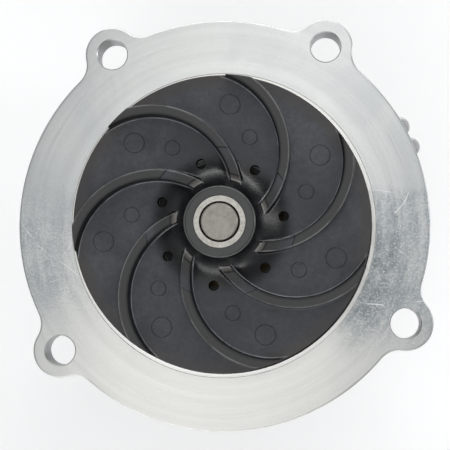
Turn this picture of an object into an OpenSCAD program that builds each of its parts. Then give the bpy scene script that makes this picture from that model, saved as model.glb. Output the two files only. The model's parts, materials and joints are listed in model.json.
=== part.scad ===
// Automotive water pump. A cast housing with a four-ear gasket flange carries an
// integral shaft bearing and a spring-loaded face seal. The shaft turns a moulded
// seven-blade impeller at one end and a pressed-on drive hub at the other.
// The origin is the centre of the drive hub's pulley seat, and +Z runs along the
// shaft towards the impeller. All sizes are in millimetres.

/* [Gasket flange] */
// Outer diameter of the flange
flange_d = 144; // [140:0.5:150]
// Thickness of the flange and its ears
flange_t = 12; // [10:0.5:13]
// Height of the gasket face above the pulley seat
gasket_z = 90; // [89:0.5:94]
// Diameter of the opening behind the impeller
opening_d = 103.2; // [102.8:0.2:104]
// Diameter of the shallow turned step round the opening
opening_step_d = 106.6; // [106:0.2:110]
// Depth of the cavity below the gasket face
cavity_depth = 14; // [12:0.5:14]

/* [Ears] */
// Radius from the shaft axis to the ear holes
ear_pitch_r = 72; // [71:0.5:74]
// Diameter of the ear holes
ear_hole_d = 10.5; // [9:0.5:11]
// Outer radius of each ear about its hole
ear_r = 9.6; // [8.5:0.1:11]
// Radius of the hollow that blends an ear into the flange
ear_blend_r = 8; // [6:0.5:10]
// Angle of the first ear
ear_angle_1 = 60; // [55:0.5:65]
// Angle of the second ear
ear_angle_2 = 123; // [118:0.5:128]
// Angle of the third ear
ear_angle_3 = 217.5; // [212:0.5:222]
// Angle of the fourth ear
ear_angle_4 = 331.5; // [326:0.5:336]

/* [Housing] */
// Outer radius of the nose that holds the bearing
nose_r = 25; // [24:0.5:27]
// Height of the nose's end face above the pulley seat
nose_z = 17.5; // [17:0.5:18.5]
// Outer radius of the bowl behind the flange
bowl_r = 59; // [58:0.5:62]
// Thickness of the cavity floor
floor_t = 6; // [5:0.5:6]
// Number of ribs between the nose and the bowl
rib_count = 6; // [3:1:8]
// Thickness of each rib
rib_t = 5; // [4:0.5:6]

/* [Impeller] */
// Outer diameter of the impeller
impeller_d = 102.2; // [98:0.2:103]
// Height of the disc's front face above the gasket face
disc_rise = 10; // [9:0.5:12]
// Thickness of the impeller disc
disc_t = 4.5; // [4:0.5:5]
// Height of the blades above the disc
blade_h = 5.8; // [4:0.2:7]
// Thickness of a blade
blade_t = 3.3; // [2.5:0.1:4]
// Number of blades and of balance holes
blade_count = 7; // [5:1:8]
// Angle of the first balance hole
first_hole_angle = 6; // [0:0.5:50]
// Diameter of a balance hole
balance_hole_d = 3.6; // [3:0.1:4.5]
// Radius from the shaft axis to the balance holes
balance_pitch_r = 21.5; // [20.5:0.5:23]
// Outer diameter of the impeller boss
boss_d = 24.5; // [23.5:0.5:25]
// Outer diameter of the steel insert
insert_d = 17.8; // [16.5:0.1:19]

/* [Shaft and drive hub] */
// Diameter of the shaft in the bearing
shaft_d = 15.92; // [15.9:0.01:16]
// Diameter of the shaft at the impeller
shaft_tip_d = 12.5; // [12:0.1:13]
// Diameter of the pilot that centres the pulley
pilot_d = 15; // [14:0.1:15.4]
// Length of the pilot beyond the pulley seat
pilot_l = 4; // [3:0.5:6]
// Outer diameter of the drive hub
hub_d = 76; // [74:1:84]
// Thickness of the drive hub's flange
hub_t = 8; // [6:0.5:9]
// Diameter of the circle of pulley bolts
pulley_pcd = 58; // [54:1:60]
// Drilled diameter of the tapped pulley holes
pulley_hole_d = 6.8; // [5:0.1:8.5]

/* [Bearing] */
// Outer diameter of the bearing
bearing_d = 38.1; // [37:0.1:39]
// Length of the bearing
bearing_l = 40; // [39.5:0.5:40]
// Diameter of a ball
ball_d = 7.144; // [6.8:0.001:7.2]
// Number of balls
ball_count = 8; // [5:1:8]
// Diameter of a roller
roller_d = 6; // [5.6:0.1:6]
// Length of a roller
roller_l = 9; // [7:0.5:9]
// Number of rollers
roller_count = 9; // [5:1:9]

/* [Hidden] */

round_fn = 120;         // segments of large round faces
small_fn = 48;          // segments of holes and small round faces
past = 1;               // how far a cutter runs past the face it cuts

// Housing heights and radii
flange_r = flange_d / 2;
opening_r = opening_d / 2;
flange_back_z = gasket_z - flange_t;
floor_z = gasket_z - cavity_depth;
bowl_z = floor_z - floor_t;
opening_chamfer = 0.3;
opening_step_r = opening_step_d / 2;
opening_step_t = 0.4;   // depth of the step below the gasket face
ear_angles = [ear_angle_1, ear_angle_2, ear_angle_3, ear_angle_4];
nose_chamfer = 1.5;
flare_r = 10;           // hollow between the nose and the bowl
bowl_edge_r = 5;        // round at the bowl's lower edge
cavity_edge_r = 4;      // round at the cavity's outer corner
boss_root_r = 3;        // round at the foot of the seal boss
seal_boss_r = 24;
seal_boss_z = gasket_z - 8;
rib_low_z = 32;         // where a rib leaves the nose
rib_out_r = bowl_r - 3; // where a rib meets the bowl
lug_angles = [22.7, 29.1];
lug_r = 3.4;
lug_reach = 2.4;        // how far a lug stands out of the flange edge
lug_drop = 4;           // how far a lug stays below the gasket face

// Bearing and its place in the nose
bearing_r = bearing_d / 2;
bearing_z = 21;
bearing_top = bearing_z + bearing_l;
mouth_chamfer = 0.8;
ring_bore_r = 14.3;
ring_groove_z = 19.3;
ring_groove_t = 1.7;
ring_groove_r = bearing_r + 1.35;
snap_depth = 1.6;       // how far the spring ring stands into the bore
snap_play = 0.05;       // play of the spring ring in its groove
snap_gap = 8;           // opening between the spring ring's ends
race_gap = 0.2;         // gap between a ball or roller and its races
ball_pitch_r = shaft_d / 2 - 0.28 + ball_d / 2;
ball_z = 32;
roller_pitch_r = (shaft_d / 2 + ring_bore_r) / 2;
roller_z = 49;
cage_gap = 0.22;        // gap between a pocket and what it holds
cage_in_r = 10;
cage_out_r = 12.4;
ball_cage_h = 8.8;
roller_cage_h = roller_l + 3;
seal_lip_gap = 0.3;     // gap between a seal lip and the shaft
lip_bevel = 0.4;
end_seal_t = 2;
end_seal_inset = 0.8;

// Drain chamber between the bearing and the face seal
shoulder_t = 2.5;
shoulder_r = 15.5;
chamber_z = bearing_top + shoulder_t;
chamber_r = 18.2;
drain_z = chamber_z + 3;
weep_r = 2;
reservoir_r = 5;
reservoir_boss_r = 8;
reservoir_end = 36;
plug_l = 5;
plug_wall = 1;

// Face seal
case_low_z = seal_boss_z - 10;
case_wall = 1;
case_flange_r = 21.5;
case_flange_t = 1.2;
case_hole_r = 8.2;
carbon_face_z = gasket_z + 1;
carbon_in_r = 9;
carbon_out_r = 13.4;
carbon_nose_in_r = 9.6;
carbon_nose_out_r = 12.2;
carbon_nose_h = 1.2;
carbon_h = 3.3;
retainer_t = 0.8;
retainer_wall = 1;
retainer_in_r = 8.6;
retainer_low_z = carbon_face_z - carbon_h - retainer_t;
bellows_in_r = 7.4;
bellows_wall = 1.2;
bellows_foot_r = 15;
bellows_foot_t = 1.4;
bellows_fold_r = 10.6;
spring_r = 12.6;
spring_wire_r = 0.7;
spring_turns = 4;
spring_steps = 26;      // rings of points in each turn of the spring
spring_sides = 8;

// Shaft, impeller and drive hub
shaft_r = shaft_d / 2;
tip_r = shaft_tip_d / 2;
shaft_step_z = bearing_top + 1;
shaft_top_z = gasket_z + 21;
tip_chamfer = 0.6;
disc_z = gasket_z + disc_rise;
disc_back_z = disc_z - disc_t;
impeller_r = impeller_d / 2;
rim_chamfer = 0.4;
boss_r = boss_d / 2;
boss_top_z = gasket_z + 20.2;
boss_round = 0.8;
hollow_r = 16;          // radius of the hollow between the boss and the disc
hollow_start_r = 25.5;  // where that hollow leaves the flat of the disc
insert_r = insert_d / 2;
insert_top_z = boss_top_z - 0.2;
insert_mouth = 0.5;
insert_relief = 0.65;    // gap round the shaft at the open end of the insert
insert_relief_h = 2.6;
back_boss_r = 18.6;
back_boss_z = gasket_z + 2.5;
cup_r = 15.5;
cup_top_z = gasket_z + 6;
cup_low_z = gasket_z + 1.8;
cup_back_t = 1;
mating_r = 13.8;
mating_in_r = 7.4;
seal_face_gap = 0.1;
mating_low_z = carbon_face_z + seal_face_gap;
blade_top_z = disc_z + blade_h;
blade_arc_r = 29.5;     // radius of a blade's centre line
blade_arc_offset = 25.5; // from the shaft axis to that arc's centre
blade_arc_angle = 101.5; // from a balance hole round to that arc's centre
blade_in_r = 14.5;
blade_tip_r = impeller_r - rim_chamfer - 0.1;
blade_step_r = 25.5;    // inside this radius the blade tops are lower
blade_step_h = 0.6;
blade_facet_r = 17.3;   // the slanted end of a blade starts here
blade_facet_h = 1.2;
mark_h = 0.12;          // height of the round moulding marks
small_mark = [31, 14.2, 2.5];   // radius out, angle from a hole, own radius
large_mark = [41, 28.4, 3.4];
slinger_z = drain_z - 1.5;
slinger_r = 13.4;
slinger_t = 1.2;
slinger_sleeve_t = 1.6;
slinger_sleeve_h = 3.4;
hub_boss_r = 15;
hub_boss_h = 8;
hub_chamfer = 0.8;
hub_root_r = 2;

// Points along an arc, from angle a0 to angle a1
function arc(cx, cy, r, a0, a1, steps = 8) =
    [for (i = [0:steps]) let (a = a0 + (a1 - a0) * i / steps) [cx + r * cos(a), cy + r * sin(a)]];

// A closed ring of rectangular section
module ring(r_in, r_out, z0, z1, fn = round_fn) {
    rotate_extrude($fn = fn)
        polygon([[r_in, z0], [r_out, z0], [r_out, z1], [r_in, z1]]);
}

// Moves children to a radius and an angle about the shaft axis
module at(r, angle) {
    rotate([0, 0, angle]) translate([r, 0, 0]) children();
}

// --- Housing ---------------------------------------------------------------

// Hollow corner between an ear and the flange, on one side of the ear
module ear_blend(side) {
    reach = flange_r + ear_blend_r;
    span = ear_r + ear_blend_r;
    swing = acos((reach * reach + ear_pitch_r * ear_pitch_r - span * span) / (2 * reach * ear_pitch_r));
    centre = [reach * cos(swing), side * reach * sin(swing)];
    difference() {
        polygon([[0, 0], [ear_pitch_r, 0], centre]);
        translate(centre) circle(r = ear_blend_r, $fn = small_fn);
    }
}

module flange_outline() {
    circle(r = flange_r, $fn = round_fn);
    for (angle = ear_angles) rotate(angle) {
        translate([ear_pitch_r, 0]) circle(r = ear_r, $fn = small_fn);
        ear_blend(1);
        ear_blend(-1);
    }
}

module housing_body() {
    translate([0, 0, flange_back_z]) linear_extrude(flange_t) flange_outline();
    rotate_extrude($fn = round_fn)
        polygon(concat(
            [[0, nose_z], [nose_r - nose_chamfer, nose_z], [nose_r, nose_z + nose_chamfer]],
            arc(nose_r + flare_r, bowl_z - flare_r, flare_r, 180, 90),
            arc(bowl_r - bowl_edge_r, bowl_z + bowl_edge_r, bowl_edge_r, -90, 0),
            [[bowl_r, gasket_z - past], [0, gasket_z - past]]));
    for (i = [0:rib_count - 1]) rotate([90, 0, 360 * i / rib_count])
        linear_extrude(rib_t, center = true)
            polygon([[nose_r - 4, rib_low_z], [nose_r - 0.5, rib_low_z], [rib_out_r, bowl_z + 1],
                [rib_out_r, flange_back_z], [nose_r - 4, flange_back_z]]);
    translate([0, 0, drain_z]) rotate([-90, 0, 0])
        cylinder(r = reservoir_boss_r, h = reservoir_end, $fn = small_fn);
    for (angle = lug_angles) at(flange_r + lug_reach - lug_r, angle)
        translate([0, 0, flange_back_z])
            cylinder(r = lug_r, h = flange_t - lug_drop, $fn = small_fn);
}

// Bearing seat, its mouth and ring groove, the drain chamber and the seal bore
module housing_bore() {
    rotate_extrude($fn = round_fn)
        polygon([[0, nose_z - past], [bearing_r + mouth_chamfer, nose_z - past],
            [bearing_r + mouth_chamfer, nose_z], [bearing_r, nose_z + mouth_chamfer],
            [bearing_r, ring_groove_z], [ring_groove_r, ring_groove_z],
            [ring_groove_r, ring_groove_z + ring_groove_t], [bearing_r, ring_groove_z + ring_groove_t],
            [bearing_r, bearing_top], [shoulder_r, bearing_top], [shoulder_r, chamber_z],
            [chamber_r, chamber_z], [chamber_r, seal_boss_z + past], [0, seal_boss_z + past]]);
}

// Cavity round the seal boss, open at the gasket face
module housing_cavity() {
    rotate_extrude($fn = round_fn)
        polygon(concat(
            [[0, seal_boss_z], [seal_boss_r - 1, seal_boss_z], [seal_boss_r, seal_boss_z - 1]],
            arc(seal_boss_r + boss_root_r, floor_z + boss_root_r, boss_root_r, 180, 270),
            arc(opening_r - cavity_edge_r, floor_z + cavity_edge_r, cavity_edge_r, -90, 0),
            [[opening_r, gasket_z - opening_step_t - opening_chamfer],
            [opening_r + opening_chamfer, gasket_z - opening_step_t],
            [opening_step_r, gasket_z - opening_step_t],
            [opening_step_r, gasket_z + past], [0, gasket_z + past]]));
}

module housing() {
    color("silver") difference() {
        housing_body();
        housing_bore();
        housing_cavity();
        for (angle = ear_angles) at(ear_pitch_r, angle)
            translate([0, 0, flange_back_z - past])
                cylinder(d = ear_hole_d, h = flange_t + 2 * past, $fn = small_fn);
        translate([0, 0, drain_z]) rotate([-90, 0, 0])
            cylinder(r = reservoir_r, h = reservoir_end + past, $fn = small_fn);
        translate([0, 0, drain_z]) rotate([90, 0, 0])
            cylinder(r = weep_r, h = nose_r + flare_r, $fn = small_fn);
    }
}

// Pressed cup that closes the drain reservoir
module weep_plug() {
    color("silver") translate([0, reservoir_end - plug_l, drain_z]) rotate([-90, 0, 0])
        rotate_extrude($fn = small_fn)
            polygon([[0, 0], [reservoir_r, 0], [reservoir_r, plug_l - plug_wall / 2],
                [reservoir_r - plug_wall / 2, plug_l], [reservoir_r - plug_wall, plug_l],
                [reservoir_r - plug_wall, plug_wall], [0, plug_wall]]);
}

// --- Bearing ---------------------------------------------------------------

module bearing_outer_ring() {
    color("lightsteelblue") rotate_extrude($fn = round_fn) difference() {
        polygon([[ring_bore_r, bearing_z], [bearing_r - 0.5, bearing_z], [bearing_r, bearing_z + 0.5],
            [bearing_r, bearing_top - 0.5], [bearing_r - 0.5, bearing_top], [ring_bore_r, bearing_top]]);
        translate([ball_pitch_r, ball_z]) circle(r = ball_d / 2 + race_gap, $fn = small_fn);
    }
}

// Open spring ring that keeps the bearing in the nose
module bearing_retaining_ring() {
    color("dimgray") difference() {
        ring(bearing_r - snap_depth, ring_groove_r - snap_play, ring_groove_z + snap_play,
            ring_groove_z + ring_groove_t - snap_play);
        translate([0, -snap_gap / 2, ring_groove_z - past])
            cube([ring_groove_r + past, snap_gap, ring_groove_t + 2 * past]);
    }
}

module end_seal(z0) {
    z1 = z0 + end_seal_t;
    lip_r = shaft_r + seal_lip_gap;
    color("black") rotate_extrude($fn = round_fn)
        polygon([[lip_r, z0 + lip_bevel], [lip_r + 4 * lip_bevel, z0], [ring_bore_r, z0],
            [ring_bore_r, z1], [lip_r + 4 * lip_bevel, z1], [lip_r, z1 - lip_bevel]]);
}

module bearing_seal_drive() {
    end_seal(bearing_z + end_seal_inset);
}

module bearing_seal_wet() {
    end_seal(bearing_top - end_seal_inset - end_seal_t);
}

module bearing_balls() {
    color("gainsboro") for (i = [0:ball_count - 1]) at(ball_pitch_r, 360 * i / ball_count)
        translate([0, 0, ball_z]) sphere(d = ball_d, $fn = small_fn);
}

module ball_cage() {
    color("goldenrod") difference() {
        ring(cage_in_r, cage_out_r, ball_z - ball_cage_h / 2, ball_z + ball_cage_h / 2);
        for (i = [0:ball_count - 1]) at(ball_pitch_r, 360 * i / ball_count)
            translate([0, 0, ball_z]) sphere(r = ball_d / 2 + cage_gap, $fn = small_fn);
    }
}

module bearing_rollers() {
    color("gainsboro") for (i = [0:roller_count - 1]) at(roller_pitch_r, 360 * i / roller_count)
        translate([0, 0, roller_z - roller_l / 2]) cylinder(d = roller_d, h = roller_l, $fn = small_fn);
}

module roller_cage() {
    pocket_l = roller_l + 2 * cage_gap;
    color("goldenrod") difference() {
        ring(cage_in_r, cage_out_r, roller_z - roller_cage_h / 2, roller_z + roller_cage_h / 2);
        for (i = [0:roller_count - 1]) at(roller_pitch_r, 360 * i / roller_count)
            translate([0, 0, roller_z - pocket_l / 2])
                cylinder(r = roller_d / 2 + cage_gap, h = pocket_l, $fn = small_fn);
    }
}

// --- Face seal -------------------------------------------------------------

// Drawn cup pressed into the seal boss
module seal_case() {
    in_r = chamber_r - case_wall;
    color("darkgoldenrod") rotate_extrude($fn = round_fn)
        polygon([[case_hole_r, case_low_z], [chamber_r, case_low_z], [chamber_r, seal_boss_z],
            [case_flange_r, seal_boss_z], [case_flange_r, seal_boss_z + case_flange_t],
            [in_r, seal_boss_z + case_flange_t], [in_r, case_low_z + case_wall],
            [case_hole_r, case_low_z + case_wall]]);
}

// Rubber sleeve with one fold, from the case floor up to the retainer
module seal_bellows() {
    foot_z = case_low_z + case_wall;
    fold_z = (foot_z + retainer_low_z) / 2;
    out_r = bellows_in_r + bellows_wall;
    fold_h = bellows_fold_r - out_r;
    color("black") rotate_extrude($fn = round_fn)
        polygon([[bellows_in_r, foot_z], [bellows_foot_r, foot_z], [bellows_foot_r, foot_z + bellows_foot_t],
            [out_r, foot_z + bellows_foot_t], [out_r, fold_z - fold_h], [bellows_fold_r, fold_z],
            [out_r, fold_z + fold_h], [out_r, retainer_low_z - bellows_wall],
            [bellows_fold_r, retainer_low_z - bellows_wall], [bellows_fold_r, retainer_low_z],
            [bellows_in_r, retainer_low_z], [bellows_in_r, fold_z + fold_h],
            [bellows_in_r + fold_h, fold_z], [bellows_in_r, fold_z - fold_h]]);
}

// Coil spring that holds the carbon ring against the mating ring
module seal_spring() {
    low = case_low_z + case_wall + bellows_foot_t + spring_wire_r;
    high = retainer_low_z - spring_wire_r;
    rings = spring_turns * spring_steps;
    last = rings * spring_sides;
    points = [for (i = [0:rings]) for (j = [0:spring_sides - 1])
        let (turn = 360 * i / spring_steps, a = 360 * j / spring_sides, r = spring_r + spring_wire_r * cos(a))
        [r * cos(turn), r * sin(turn), low + (high - low) * i / rings + spring_wire_r * sin(a)]];
    sides = [for (i = [0:rings - 1]) for (j = [0:spring_sides - 1])
        let (k = (j + 1) % spring_sides, a = i * spring_sides, b = a + spring_sides)
        each [[a + j, b + j, b + k], [a + j, b + k, a + k]]];
    first_end = [for (j = [0:spring_sides - 1]) j];
    last_end = [for (j = [spring_sides - 1:-1:0]) last + j];
    color("lightgray") polyhedron(points, concat(sides, [first_end, last_end]));
}

// Pressed ring between the spring and the carbon ring
module seal_retainer() {
    out_r = carbon_out_r + retainer_wall;
    low = retainer_low_z;
    color("darkgoldenrod") rotate_extrude($fn = round_fn)
        polygon([[retainer_in_r, low], [out_r, low], [out_r, low + 2.6], [carbon_out_r, low + 2.6],
            [carbon_out_r, low + retainer_t], [retainer_in_r, low + retainer_t]]);
}

module seal_carbon_ring() {
    low = carbon_face_z - carbon_h;
    nose_low = carbon_face_z - carbon_nose_h;
    color("dimgray") rotate_extrude($fn = round_fn)
        polygon([[carbon_in_r, low], [carbon_out_r, low], [carbon_out_r, nose_low],
            [carbon_nose_out_r, nose_low], [carbon_nose_out_r, carbon_face_z],
            [carbon_nose_in_r, carbon_face_z], [carbon_nose_in_r, nose_low], [carbon_in_r, nose_low]]);
}

// --- Rotor -----------------------------------------------------------------

module shaft() {
    color("lightgray") rotate_extrude($fn = round_fn) difference() {
        polygon([[0, -pilot_l], [pilot_d / 2 - tip_chamfer, -pilot_l], [pilot_d / 2, tip_chamfer - pilot_l],
            [pilot_d / 2, 0], [shaft_r, 0], [shaft_r, shaft_step_z - tip_chamfer],
            [shaft_r - tip_chamfer, shaft_step_z], [tip_r, shaft_step_z],
            [tip_r, shaft_top_z - tip_chamfer], [tip_r - tip_chamfer, shaft_top_z], [0, shaft_top_z]]);
        translate([ball_pitch_r, ball_z]) circle(r = ball_d / 2 + race_gap, $fn = small_fn);
    }
}

// Disc, hollow and boss in one turned shape, with room for insert and seal ring
module impeller_disc() {
    hollow_cz = disc_z + hollow_r;
    hollow_end = 180 + acos((hollow_start_r - boss_r) / hollow_r);
    rotate_extrude($fn = round_fn)
        polygon(concat(
            [[insert_r, cup_top_z], [cup_r, cup_top_z], [cup_r, back_boss_z], [back_boss_r, back_boss_z],
            [back_boss_r, disc_back_z], [impeller_r - rim_chamfer, disc_back_z],
            [impeller_r, disc_back_z + rim_chamfer], [impeller_r, disc_z - rim_chamfer],
            [impeller_r - rim_chamfer, disc_z]],
            arc(hollow_start_r, hollow_cz, hollow_r, 270, hollow_end, 14),
            [[boss_r, boss_top_z - boss_round], [boss_r - boss_round, boss_top_z], [insert_r, boss_top_z]]));
}

// One backward-curved blade, a circular arc in plan
module blade_outline() {
    intersection() {
        rotate(blade_arc_angle) translate([blade_arc_offset, 0]) difference() {
            circle(r = blade_arc_r + blade_t / 2, $fn = round_fn);
            circle(r = blade_arc_r - blade_t / 2, $fn = round_fn);
        }
        difference() {
            circle(r = blade_tip_r, $fn = round_fn);
            circle(r = blade_in_r, $fn = round_fn);
        }
        rotate(blade_arc_angle) translate([-impeller_r, -impeller_r]) square([2 * impeller_r, impeller_r]);
    }
}

// Room above the blades: lower inside the step, and slanted at their inner ends
module blade_top_room() {
    step_z = blade_top_z - blade_step_h;
    rotate_extrude($fn = round_fn)
        polygon([[0, step_z - 2 * blade_facet_h], [blade_in_r, step_z - 2 * blade_facet_h],
            [blade_facet_r, step_z - blade_facet_h / 2], [blade_step_r, step_z],
            [blade_step_r + 0.3, blade_top_z], [blade_step_r + 0.3, blade_top_z + past],
            [0, blade_top_z + past]]);
}

module blades() {
    difference() {
        translate([0, 0, disc_z - 2]) linear_extrude(blade_h + 2)
            for (i = [0:blade_count - 1]) rotate(first_hole_angle + 360 * i / blade_count) blade_outline();
        blade_top_room();
    }
}

module impeller() {
    color("dimgray") difference() {
        union() {
            impeller_disc();
            blades();
            for (i = [0:blade_count - 1]) for (mark = [small_mark, large_mark])
                at(mark[0], first_hole_angle + mark[1] + 360 * i / blade_count)
                    translate([0, 0, disc_z - past]) cylinder(r = mark[2], h = past + mark_h, $fn = small_fn);
        }
        for (i = [0:blade_count - 1]) at(balance_pitch_r, first_hole_angle + 360 * i / blade_count)
            translate([0, 0, disc_back_z - past])
                cylinder(d = balance_hole_d, h = disc_t + blade_h + past, $fn = small_fn);
    }
}

// Steel sleeve moulded into the boss and pressed on the shaft
module impeller_insert() {
    color("lightgray") rotate_extrude($fn = round_fn)
        polygon([[tip_r, cup_top_z], [insert_r, cup_top_z], [insert_r, insert_top_z - insert_mouth],
            [insert_r - insert_mouth, insert_top_z], [tip_r + insert_relief, insert_top_z],
            [tip_r + insert_relief, insert_top_z - insert_relief_h],
            [tip_r, insert_top_z - insert_relief_h - insert_relief]]);
}

module mating_ring() {
    color("ivory") ring(mating_in_r, mating_r, mating_low_z, cup_top_z - cup_back_t);
}

// Rubber cup that seats the mating ring in the back of the impeller
module mating_ring_cup() {
    color("black") rotate_extrude($fn = round_fn)
        polygon([[mating_in_r, cup_top_z - cup_back_t], [mating_r, cup_top_z - cup_back_t],
            [mating_r, cup_low_z], [cup_r, cup_low_z], [cup_r, cup_top_z], [mating_in_r, cup_top_z]]);
}

// Disc on the shaft that throws leaked coolant to the weep hole
module slinger() {
    sleeve_r = tip_r + slinger_sleeve_t;
    color("black") rotate_extrude($fn = round_fn)
        polygon([[tip_r, slinger_z], [sleeve_r, slinger_z],
            [sleeve_r, slinger_z + slinger_sleeve_h - slinger_t],
            [slinger_r, slinger_z + slinger_sleeve_h - slinger_t],
            [slinger_r, slinger_z + slinger_sleeve_h], [tip_r, slinger_z + slinger_sleeve_h]]);
}

module drive_hub() {
    color("darkgray") difference() {
        rotate_extrude($fn = round_fn)
            polygon(concat(
                [[shaft_r, 0], [hub_d / 2 - hub_chamfer, 0], [hub_d / 2, hub_chamfer],
                [hub_d / 2, hub_t - hub_chamfer], [hub_d / 2 - hub_chamfer, hub_t]],
                arc(hub_boss_r + hub_root_r, hub_t + hub_root_r, hub_root_r, 270, 180),
                [[hub_boss_r, hub_t + hub_boss_h - hub_chamfer],
                [hub_boss_r - hub_chamfer, hub_t + hub_boss_h], [shaft_r, hub_t + hub_boss_h]]));
        for (angle = [0, 90, 180, 270]) at(pulley_pcd / 2, angle)
            translate([0, 0, -past]) cylinder(d = pulley_hole_d, h = hub_t + 2 * past, $fn = small_fn);
    }
}

housing();
weep_plug();
bearing_outer_ring();
bearing_retaining_ring();
bearing_seal_drive();
bearing_seal_wet();
seal_case();
seal_bellows();
seal_spring();
seal_retainer();
seal_carbon_ring();
shaft();
impeller();
impeller_insert();
mating_ring();
mating_ring_cup();
slinger();
drive_hub();
bearing_balls();
ball_cage();
bearing_rollers();
roller_cage();
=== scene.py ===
"""The looks of an automotive water pump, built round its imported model.

All sizes in the classes are in millimetres, and each mesh is scaled to metres when it is made.
The pump's axis is Z. The gasket face, the impeller and the shaft end look up, towards +Z.
"""

import json
import logging
import math
from dataclasses import dataclass, field
from enum import Enum
from typing import Sequence

import bmesh
import bpy
import numpy as np
from mathutils import Matrix, Quaternion, Vector


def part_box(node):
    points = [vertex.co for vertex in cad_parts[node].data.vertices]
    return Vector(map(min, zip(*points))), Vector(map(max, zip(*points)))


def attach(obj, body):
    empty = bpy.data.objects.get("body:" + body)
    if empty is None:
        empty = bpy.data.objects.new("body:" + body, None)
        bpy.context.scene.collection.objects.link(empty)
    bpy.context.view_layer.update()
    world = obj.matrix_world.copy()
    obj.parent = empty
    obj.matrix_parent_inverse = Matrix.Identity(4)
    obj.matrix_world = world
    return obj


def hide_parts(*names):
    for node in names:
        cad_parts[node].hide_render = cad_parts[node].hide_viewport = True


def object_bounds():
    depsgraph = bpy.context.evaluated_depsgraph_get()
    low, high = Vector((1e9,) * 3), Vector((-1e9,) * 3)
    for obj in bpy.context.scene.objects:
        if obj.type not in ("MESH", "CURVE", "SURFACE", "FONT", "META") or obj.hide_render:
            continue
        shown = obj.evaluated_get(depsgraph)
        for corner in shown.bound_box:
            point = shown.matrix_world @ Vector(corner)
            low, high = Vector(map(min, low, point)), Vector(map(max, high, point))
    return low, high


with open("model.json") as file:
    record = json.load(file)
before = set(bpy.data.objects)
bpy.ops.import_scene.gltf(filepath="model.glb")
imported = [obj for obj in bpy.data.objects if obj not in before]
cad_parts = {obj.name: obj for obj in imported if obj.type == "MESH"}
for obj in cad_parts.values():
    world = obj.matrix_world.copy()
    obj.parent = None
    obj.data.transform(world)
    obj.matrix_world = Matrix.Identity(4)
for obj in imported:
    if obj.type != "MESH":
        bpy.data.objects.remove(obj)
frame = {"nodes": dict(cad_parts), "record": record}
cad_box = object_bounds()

log = logging.getLogger("pump")
METRE = 1000.0  # millimetres in a metre
TURN = 2 * math.pi
MOULD_MARKS = ((31.0, 14.2, 2.5), (41.0, 28.4, 3.4))  # radius, angle past a balance hole, own radius


def low_z(node: str) -> float:
    """Lowest height of a CAD node, in millimetres."""
    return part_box(node)[0].z * METRE


def top_z(node: str) -> float:
    """Highest height of a CAD node, in millimetres."""
    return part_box(node)[1].z * METRE


# --- Meshes -------------------------------------------------------------------------


def rounded(corners: Sequence[Sequence[float]], loop: bool = True, steps: int = 4) -> np.ndarray:
    """A path in (radius, height) whose corners are turned into arcs.

    An arc touches both legs at round x tan(half the turn) from its corner. Beside each
    arc stands one more point on each leg, so that a flat face next to it shades flat.

    Args:
        corners: (radius, height, round) for each corner, with round 0 for a sharp one.
        loop: whether the last corner joins the first.
        steps: pieces in each arc.

    Returns:
        The points, one row of (radius, height) each.
    """
    table = np.array(corners, float)
    xy, rounds, count = table[:, :2], table[:, 2], len(table)
    found = []
    for i in range(count):
        here, r = xy[i], rounds[i]
        if not loop and i in (0, count - 1):
            r = 0.0
        if r <= 0:
            found.append(here[None])
            continue
        a, b = xy[i - 1] - here, xy[(i + 1) % count] - here
        la, lb = np.linalg.norm(a), np.linalg.norm(b)
        a, b = a / la, b / lb
        half = math.acos(max(-1.0, min(1.0, float(a @ b)))) / 2
        reach = min(r / math.tan(half), 0.49 * la, 0.49 * lb)
        r = reach * math.tan(half)
        middle = here + (a + b) / np.linalg.norm(a + b) * (r / math.sin(half))
        start, end = here + a * reach - middle, here + b * reach - middle
        share = np.linspace(0, 1, steps + 1)[:, None]
        swing = math.pi - 2 * half
        arc = (np.sin((1 - share) * swing) * start + np.sin(share * swing) * end) / math.sin(swing)
        extra = reach + max(0.35 * r, 0.08)
        if extra < 0.49 * la:
            found.append((here + a * extra)[None])
        found.append(middle + arc)
        if extra < 0.49 * lb:
            found.append((here + b * extra)[None])
    return np.concatenate(found)


@dataclass
class Skin:
    """A surface on a grid of points, whose columns run round and close on themselves."""

    points: np.ndarray  # (rows, columns, 3), in millimetres
    loop: bool = True  # whether the last row joins the first
    guide: np.ndarray | None = None  # (rows, columns, 2), a UV map for the finish to follow

    @classmethod
    def turned(cls, path: np.ndarray, columns: int = 128, loop: bool = True) -> "Skin":
        """A path in (radius, height) carried round the Z axis: (r cos a, r sin a, height).

        Args:
            path: the points, one row of (radius, height) each.
            columns: how many steps go round the axis.
            loop: whether the last row joins the first.

        Returns:
            The skin.
        """
        a = np.linspace(0, TURN, columns, endpoint=False)
        r, z = path[:, :1], path[:, 1:]
        return cls(np.stack([r * np.cos(a), r * np.sin(a), z + 0 * a], 2), loop)

    def placed(self, along: str, x: float, y: float, z: float) -> "Skin":
        """The skin with its Z axis laid along the named axis, then moved to x, y, z."""
        order = {"z": (0, 1, 2), "y": (1, 2, 0), "x": (2, 0, 1)}[along]
        return Skin(self.points[:, :, order] + np.array([x, y, z]), self.loop)

    def faces(self) -> np.ndarray:
        """Corner numbers of the quads: each point, the next column, the next row and back.

        Returns:
            Four corner numbers in each row.
        """
        rows, columns, _ = self.points.shape
        i = np.arange(rows if self.loop else rows - 1)[:, None]
        j = np.arange(columns)[None]
        n, k = (i + 1) % rows, (j + 1) % columns
        corners = [i * columns + j, i * columns + k, n * columns + k, n * columns + j]
        return np.stack(corners, 2).reshape(-1, 4)


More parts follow.
